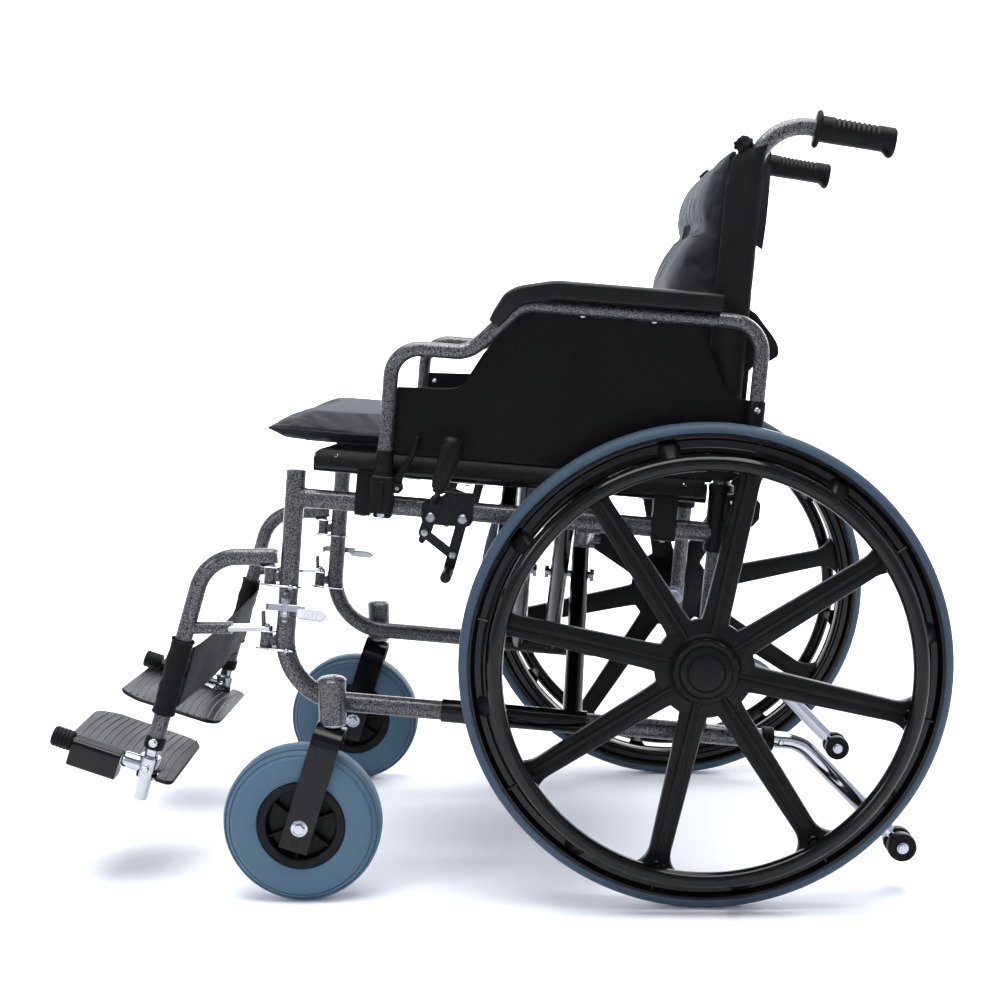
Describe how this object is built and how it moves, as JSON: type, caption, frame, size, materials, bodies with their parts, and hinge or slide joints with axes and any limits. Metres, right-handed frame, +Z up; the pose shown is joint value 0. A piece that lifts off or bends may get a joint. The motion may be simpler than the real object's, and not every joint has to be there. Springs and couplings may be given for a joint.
{
  "type": "manual wheelchair",
  "caption": "Folding manual wheelchair with large handrim wheels, front casters, swing-away footrests, flip-back armrests, wheel locks and anti-tippers.",
  "frame": {"origin": "on the floor under the middle of the overall length and width", "axes": "+Z up, -Y towards the footrests, +X to the sitter's left"},
  "size_m": [0.676, 1.1464, 0.9868],
  "materials": {
    "left_side_frame": "silver-vein powder coat",
    "left_frame_fittings": "matte",
    "left_hand_grip": "matte",
    "left_frame_bolts": "bright",
    "left_caster_fork": "gloss black",
    "left_caster_tyre": "matte",
    "left_caster_hub": "moulded",
    "left_side_link": "silver-vein powder coat",
    "left_hanger": "silver-vein powder coat",
    "left_hanger_latch": "satin",
    "left_footrest_tube": "bright",
    "left_footplate_pivot": "matte",
    "left_footplate": "moulded",
    "left_antitip_tube": "bright",
    "left_antitip_wheels": "matte",
    "left_armrest_tube": "silver-vein powder coat",
    "left_arm_pad": "soft moulded skin",
    "left_skirt_panel": "satin",
    "left_arm_lever": "matte",
    "left_brake_bracket": "satin black",
    "left_brake_lever": "zinc plated with rubber grip",
    "left_brake_link": "satin",
    "left_brake_shoe": "zinc plated",
    "right_side_frame": "silver-vein powder coat",
    "right_frame_fittings": "matte",
    "right_hand_grip": "matte",
    "right_frame_bolts": "bright",
    "right_caster_fork": "gloss black",
    "right_caster_tyre": "matte",
    "right_caster_hub": "moulded",
    "right_hanger": "silver-vein powder coat",
    "right_hanger_latch": "satin",
    "right_footrest_tube": "bright",
    "right_footplate_pivot": "matte",
    "right_footplate": "moulded",
    "right_antitip_tube": "bright",
    "right_antitip_wheels": "matte",
    "right_armrest_tube": "silver-vein powder coat",
    "right_arm_pad": "soft moulded skin",
    "right_skirt_panel": "satin",
    "right_arm_lever": "matte",
    "right_brake_bracket": "satin black",
    "right_brake_lever": "zinc plated with rubber grip",
    "right_brake_link": "satin",
    "right_brake_shoe": "zinc plated",
    "right_side_link": "silver-vein powder coat",
    "left_rear_tyre": "matte",
    "left_rear_wheel": "moulded",
    "left_handrim": "glossy",
    "right_rear_tyre": "matte",
    "right_rear_wheel": "moulded",
    "right_handrim": "glossy",
    "left_cross_brace": "gloss black",
    "right_cross_brace": "gloss black",
    "brace_bolts": "bright",
    "seat_sling": "woven",
    "seat_cushion": "woven nylon",
    "back_upholstery": "woven",
    "back_cushion": "woven nylon",
    "calf_strap": "woven"
  },
  "bodies": {
    "left_frame": {"left_side_frame": "left_side_frame", "left_frame_fittings": "left_frame_fittings", "left_hand_grip": "left_hand_grip", "left_brake_bracket": "left_brake_bracket", "left_frame_bolts": "left_frame_bolts", "back_upholstery": "back_upholstery", "back_cushion": "back_cushion"},
    "left_rear_wheel": {"left_rear_tyre": "left_rear_tyre", "left_rear_wheel": "left_rear_wheel", "left_handrim": "left_handrim"},
    "left_caster_fork": {"left_caster_fork": "left_caster_fork"},
    "left_caster_wheel": {"left_caster_tyre": "left_caster_tyre", "left_caster_hub": "left_caster_hub"},
    "left_hanger": {"left_hanger": "left_hanger", "calf_strap": "calf_strap"},
    "left_footrest_tube": {"left_footrest_tube": "left_footrest_tube"},
    "left_hanger_latch": {"left_hanger_latch": "left_hanger_latch"},
    "left_footplate_pivot": {"left_footplate_pivot": "left_footplate_pivot"},
    "left_footplate": {"left_footplate": "left_footplate"},
    "left_antitip": {"left_antitip_tube": "left_antitip_tube"},
    "left_antitip_wheels": {"left_antitip_wheels": "left_antitip_wheels"},
    "left_armrest": {"left_armrest_tube": "left_armrest_tube", "left_arm_pad": "left_arm_pad", "left_skirt_panel": "left_skirt_panel"},
    "left_arm_lever": {"left_arm_lever": "left_arm_lever"},
    "left_brake_lever": {"left_brake_lever": "left_brake_lever"},
    "left_brake_link": {"left_brake_link": "left_brake_link"},
    "left_brake_shoe": {"left_brake_shoe": "left_brake_shoe"},
    "left_side_link": {"left_side_link": "left_side_link"},
    "right_frame": {"right_side_frame": "right_side_frame", "right_frame_fittings": "right_frame_fittings", "right_hand_grip": "right_hand_grip", "right_brake_bracket": "right_brake_bracket", "right_frame_bolts": "right_frame_bolts"},
    "right_rear_wheel": {"right_rear_tyre": "right_rear_tyre", "right_rear_wheel": "right_rear_wheel", "right_handrim": "right_handrim"},
    "right_caster_fork": {"right_caster_fork": "right_caster_fork"},
    "right_caster_wheel": {"right_caster_tyre": "right_caster_tyre", "right_caster_hub": "right_caster_hub"},
    "right_hanger": {"right_hanger": "right_hanger"},
    "right_footrest_tube": {"right_footrest_tube": "right_footrest_tube"},
    "right_hanger_latch": {"right_hanger_latch": "right_hanger_latch"},
    "right_footplate_pivot": {"right_footplate_pivot": "right_footplate_pivot"},
    "right_footplate": {"right_footplate": "right_footplate"},
    "right_antitip": {"right_antitip_tube": "right_antitip_tube"},
    "right_antitip_wheels": {"right_antitip_wheels": "right_antitip_wheels"},
    "right_armrest": {"right_armrest_tube": "right_armrest_tube", "right_arm_pad": "right_arm_pad", "right_skirt_panel": "right_skirt_panel"},
    "right_arm_lever": {"right_arm_lever": "right_arm_lever"},
    "right_brake_lever": {"right_brake_lever": "right_brake_lever"},
    "right_brake_link": {"right_brake_link": "right_brake_link"},
    "right_brake_shoe": {"right_brake_shoe": "right_brake_shoe"},
    "right_side_link": {"right_side_link": "right_side_link"},
    "cross_left": {"left_cross_brace": "left_cross_brace", "brace_bolts": "brace_bolts"},
    "cross_right": {"right_cross_brace": "right_cross_brace"},
    "seat": {"seat_sling": "seat_sling", "seat_cushion": "seat_cushion"}
  },
  "joints": [
    {"name": "fold", "type": "hinge", "parent": "left_frame", "child": "cross_left", "pos_m": [0.23, 0.03037, 0.22846], "axis": [0, 0.9957, -0.0924], "range_deg": [0, 43.2], "deforming": ["seat_sling", "seat_cushion", "back_upholstery", "back_cushion", "calf_strap"]},
    {"name": "brace_cross", "type": "hinge", "parent": "cross_left", "child": "cross_right", "pos_m": [0, 0.06451, 0.37996], "axis": [0, 0.9957, -0.0924], "range_deg": [-86.4, 0]},
    {"name": "right_rail_turn", "type": "hinge", "parent": "cross_right", "child": "right_frame", "pos_m": [-0.23, 0.03037, 0.22846], "axis": [0, 0.9957, -0.0924], "range_deg": [0, 43.21]},
    {"name": "seat_turn", "type": "hinge", "parent": "cross_left", "child": "seat", "pos_m": [-0.23, 0.05882, 0.53515], "axis": [0, 0.9957, -0.0924], "range_deg": [-43.21, 0]},
    {"name": "left_wheel_spin", "type": "hinge", "parent": "left_frame", "child": "left_rear_wheel", "pos_m": [0.29, 0.26844, 0.3048], "axis": [1, 0, 0], "continuous": true},
    {"name": "left_caster_swivel", "type": "hinge", "parent": "left_frame", "child": "left_caster_fork", "pos_m": [0.264, -0.19816, 0.23], "axis": [0, 0, 1], "continuous": true},
    {"name": "left_caster_spin", "type": "hinge", "parent": "left_caster_fork", "child": "left_caster_wheel", "pos_m": [0.264, -0.23956, 0.1016], "axis": [1, 0, 0], "continuous": true},
    {"name": "left_hanger_swing", "type": "hinge", "parent": "left_frame", "child": "left_hanger", "pos_m": [0.23, -0.28419, 0.35607], "axis": [0, -0.0924, -0.9957], "range_deg": [-100, 0]},
    {"name": "left_latch_turn", "type": "hinge", "parent": "left_frame", "child": "left_hanger_latch", "pos_m": [0.247, -0.25776, 0.37571], "axis": [0, -0.0924, -0.9957], "range_deg": [-20, 0], "stiffness_Nm_per_rad": 0.3, "springref_deg": 11.46},
    {"name": "left_footrest_slide", "type": "slide", "parent": "left_hanger", "child": "left_footrest_tube", "axis": [0, 0.2957, 0.9553], "range_m": [-0.06, 0]},
    {"name": "left_plate_fold", "type": "hinge", "parent": "left_footrest_tube", "child": "left_footplate_pivot", "pos_m": [0.23, -0.44593, 0.16348], "axis": [0, 0.9455, -0.3256], "range_deg": [0, 80.01]},
    {"name": "left_plate_flip", "type": "hinge", "parent": "left_footplate_pivot", "child": "left_footplate", "pos_m": [0.23, -0.50266, 0.18301], "axis": [0, -0.9455, 0.3256], "range_deg": [-80, 0]},
    {"name": "left_antitip_turn", "type": "hinge", "parent": "left_frame", "child": "left_antitip", "pos_m": [0.23, 0.33904, 0.19983], "axis": [0, -0.9957, 0.0924], "range_deg": [-180, 0]},
    {"name": "left_antitip_spin", "type": "hinge", "parent": "left_antitip", "child": "left_antitip_wheels", "pos_m": [0.23, 0.5253, 0.06], "axis": [1, 0, 0], "continuous": true},
    {"name": "left_arm_flip", "type": "hinge", "parent": "left_frame", "child": "left_armrest", "pos_m": [0.2575, 0.32316, 0.50058], "axis": [1, 0, 0], "range_deg": [-95, 0]},
    {"name": "left_arm_release", "type": "hinge", "parent": "left_frame", "child": "left_arm_lever", "pos_m": [0.2575, -0.11, 0.52871], "axis": [1, 0, 0], "range_deg": [-25, 0], "stiffness_Nm_per_rad": 0.3, "springref_deg": 11.46},
    {"name": "left_brake_turn", "type": "hinge", "parent": "left_frame", "child": "left_brake_lever", "pos_m": [0.248, -0.07039, 0.49009], "axis": [-1, 0, 0], "range_deg": [-62, 0]},
    {"name": "left_brake_link_turn", "type": "hinge", "parent": "left_brake_lever", "child": "left_brake_link", "pos_m": [0.252, -0.07843, 0.47069], "axis": [-1, 0, 0], "range_deg": [0, 70.21]},
    {"name": "left_brake_shoe_turn", "type": "hinge", "parent": "left_frame", "child": "left_brake_shoe", "pos_m": [0.248, -0.03038, 0.48728], "axis": [-1, 0, 0], "range_deg": [-21.01, 0]},
    {"name": "left_link_turn", "type": "hinge", "parent": "left_frame", "child": "left_side_link", "pos_m": [0.23, 0.144, 0.47904], "axis": [0, 0.9957, -0.0924], "range_deg": [0, 91.41]},
    {"name": "right_wheel_spin", "type": "hinge", "parent": "right_frame", "child": "right_rear_wheel", "pos_m": [-0.29, 0.26844, 0.3048], "axis": [1, 0, 0], "continuous": true},
    {"name": "right_caster_swivel", "type": "hinge", "parent": "right_frame", "child": "right_caster_fork", "pos_m": [-0.264, -0.19816, 0.23], "axis": [0, 0, -1], "continuous": true},
    {"name": "right_caster_spin", "type": "hinge", "parent": "right_caster_fork", "child": "right_caster_wheel", "pos_m": [-0.264, -0.23956, 0.1016], "axis": [1, 0, 0], "continuous": true},
    {"name": "right_hanger_swing", "type": "hinge", "parent": "right_frame", "child": "right_hanger", "pos_m": [-0.23, -0.28419, 0.35607], "axis": [0, 0.0924, 0.9957], "range_deg": [-100, 0]},
    {"name": "right_latch_turn", "type": "hinge", "parent": "right_frame", "child": "right_hanger_latch", "pos_m": [-0.247, -0.25776, 0.37571], "axis": [0, 0.0924, 0.9957], "range_deg": [-20, 0], "stiffness_Nm_per_rad": 0.3, "springref_deg": 11.46},
    {"name": "right_footrest_slide", "type": "slide", "parent": "right_hanger", "child": "right_footrest_tube", "axis": [0, 0.2957, 0.9553], "range_m": [-0.06, 0]},
    {"name": "right_plate_fold", "type": "hinge", "parent": "right_footrest_tube", "child": "right_footplate_pivot", "pos_m": [-0.23, -0.44593, 0.16348], "axis": [0, -0.9455, 0.3256], "range_deg": [0, 80.01]},
    {"name": "right_plate_flip", "type": "hinge", "parent": "right_footplate_pivot", "child": "right_footplate", "pos_m": [-0.23, -0.50266, 0.18301], "axis": [0, 0.9455, -0.3256], "range_deg": [-80, 0]},
    {"name": "right_antitip_turn", "type": "hinge", "parent": "right_frame", "child": "right_antitip", "pos_m": [-0.23, 0.33904, 0.19983], "axis": [0, 0.9957, -0.0924], "range_deg": [-180, 0]},
    {"name": "right_antitip_spin", "type": "hinge", "parent": "right_antitip", "child": "right_antitip_wheels", "pos_m": [-0.23, 0.5253, 0.06], "axis": [1, 0, 0], "continuous": true},
    {"name": "right_arm_flip", "type": "hinge", "parent": "right_frame", "child": "right_armrest", "pos_m": [-0.2575, 0.32316, 0.50058], "axis": [1, 0, 0], "range_deg": [-95, 0]},
    {"name": "right_arm_release", "type": "hinge", "parent": "right_frame", "child": "right_arm_lever", "pos_m": [-0.2575, -0.11, 0.52871], "axis": [1, 0, 0], "range_deg": [-25, 0], "stiffness_Nm_per_rad": 0.3, "springref_deg": 11.46},
    {"name": "right_brake_turn", "type": "hinge", "parent": "right_frame", "child": "right_brake_lever", "pos_m": [-0.248, -0.07039, 0.49009], "axis": [-1, 0, 0], "range_deg": [-62, 0]},
    {"name": "right_brake_link_turn", "type": "hinge", "parent": "right_brake_lever", "child": "right_brake_link", "pos_m": [-0.252, -0.07843, 0.47069], "axis": [-1, 0, 0], "range_deg": [0, 70.21]},
    {"name": "right_brake_shoe_turn", "type": "hinge", "parent": "right_frame", "child": "right_brake_shoe", "pos_m": [-0.248, -0.03038, 0.48728], "axis": [-1, 0, 0], "range_deg": [-21.01, 0]},
    {"name": "right_link_turn", "type": "hinge", "parent": "right_frame", "child": "right_side_link", "pos_m": [-0.23, 0.144, 0.47904], "axis": [0, -0.9957, 0.0924], "range_deg": [0, 91.41]}
  ],
  "couplings": [
    {"joint": "brace_cross", "follows": "fold", "ratio": -2},
    {"joint": "right_rail_turn", "follows": "fold", "ratio": 1},
    {"joint": "seat_turn", "follows": "fold", "ratio": -1},
    {"joint": "left_plate_fold", "follows": "fold", "ratio": 1.8521},
    {"joint": "left_link_turn", "follows": "fold", "ratio": 2.1158},
    {"joint": "left_brake_link_turn", "follows": "left_brake_turn", "ratio": -1.1323},
    {"joint": "left_brake_shoe_turn", "follows": "left_brake_turn", "ratio": 0.3387},
    {"joint": "right_plate_fold", "follows": "fold", "ratio": 1.8521},
    {"joint": "right_link_turn", "follows": "fold", "ratio": 2.1158},
    {"joint": "right_brake_link_turn", "follows": "right_brake_turn", "ratio": -1.1323},
    {"joint": "right_brake_shoe_turn", "follows": "right_brake_turn", "ratio": 0.3387}
  ]
}
